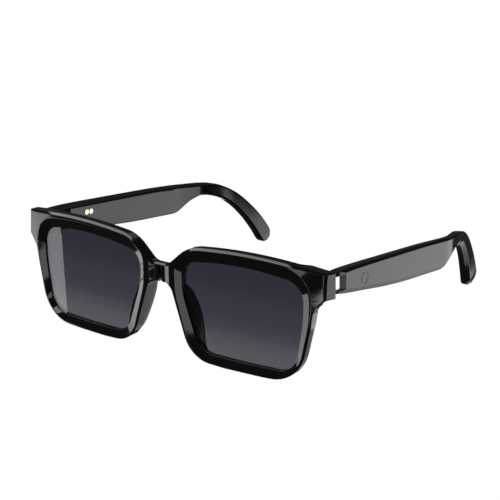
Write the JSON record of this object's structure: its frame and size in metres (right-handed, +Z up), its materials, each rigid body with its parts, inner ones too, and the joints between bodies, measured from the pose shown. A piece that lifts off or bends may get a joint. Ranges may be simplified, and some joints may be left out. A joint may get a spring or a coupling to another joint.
{
  "type": "smart glasses",
  "caption": "Thick-rimmed smart glasses with tinted lenses and two folding temples that each hold a battery, a board, a speaker and a microphone.",
  "frame": {"origin": "middle of the glasses seen from above, on the surface that the rims' bottoms and the temple tips rest on", "axes": "+Z up, the wearer looks towards -Y, +X towards the wearer's left temple"},
  "size_m": [0.1482, 0.146, 0.0468],
  "materials": {
    "frame_gloss": "polished black acetate-like plastic",
    "lens_tint": "grey tint, darker and bluer at the top, gloss",
    "hinge_steel": "fine turned and brushed steel",
    "washer_plastic": "pale low-friction nylon",
    "cover_satin": "black plastic, slightly less polished than the shell",
    "circuit_board": "green solder mask with pads and tracks",
    "chip_black": "moulded chip packages",
    "battery_foil": "laminated foil pouch",
    "ribbon_amber": "amber polyimide film",
    "speaker_metal": "dark anodised metal",
    "contact_gold": "gold-plated contact",
    "magnet_nickel": "nickel plate",
    "antenna_copper": "copper foil"
  },
  "bodies": {
    "front": {"front_frame": "frame_gloss", "lens_left": "lens_tint", "nose_pad_left": "frame_gloss", "hinge_leaf_left": "hinge_steel", "hinge_leaf_screws_left": "hinge_steel", "lens_right": "lens_tint", "nose_pad_right": "frame_gloss", "hinge_leaf_right": "hinge_steel", "hinge_leaf_screws_right": "hinge_steel"},
    "temple_left": {"hinge_pin_left": "hinge_steel", "hinge_washers_left": "washer_plastic", "temple_shell_left": "frame_gloss", "temple_cover_left": "cover_satin", "main_board_left": "circuit_board", "board_chips_left": "chip_black", "battery_left": "battery_foil", "speaker_ribbon_left": "ribbon_amber", "speaker_left": "speaker_metal", "speaker_mesh_left": "speaker_metal", "microphone_left": "contact_gold", "charging_contacts_left": "contact_gold", "charger_magnets_left": "magnet_nickel", "touch_pad_left": "ribbon_amber", "antenna_left": "antenna_copper", "core_wire_left": "hinge_steel"},
    "temple_right": {"hinge_pin_right": "hinge_steel", "hinge_washers_right": "washer_plastic", "temple_shell_right": "frame_gloss", "temple_cover_right": "cover_satin", "main_board_right": "circuit_board", "board_chips_right": "chip_black", "battery_right": "battery_foil", "speaker_ribbon_right": "ribbon_amber", "speaker_right": "speaker_metal", "speaker_mesh_right": "speaker_metal", "microphone_right": "contact_gold", "charging_contacts_right": "contact_gold", "charger_magnets_right": "magnet_nickel", "touch_pad_right": "ribbon_amber", "antenna_right": "antenna_copper", "core_wire_right": "hinge_steel"}
  },
  "joints": [
    {"name": "temple_left_hinge", "type": "hinge", "parent": "front", "child": "temple_left", "pos_m": [0.0696, -0.0591, 0.0388], "axis": [0, 0, 1], "range_deg": [0, 83]},
    {"name": "temple_right_hinge", "type": "hinge", "parent": "front", "child": "temple_right", "pos_m": [-0.0696, -0.0591, 0.0388], "axis": [0, 0, -1], "range_deg": [0, 68]}
  ]
}
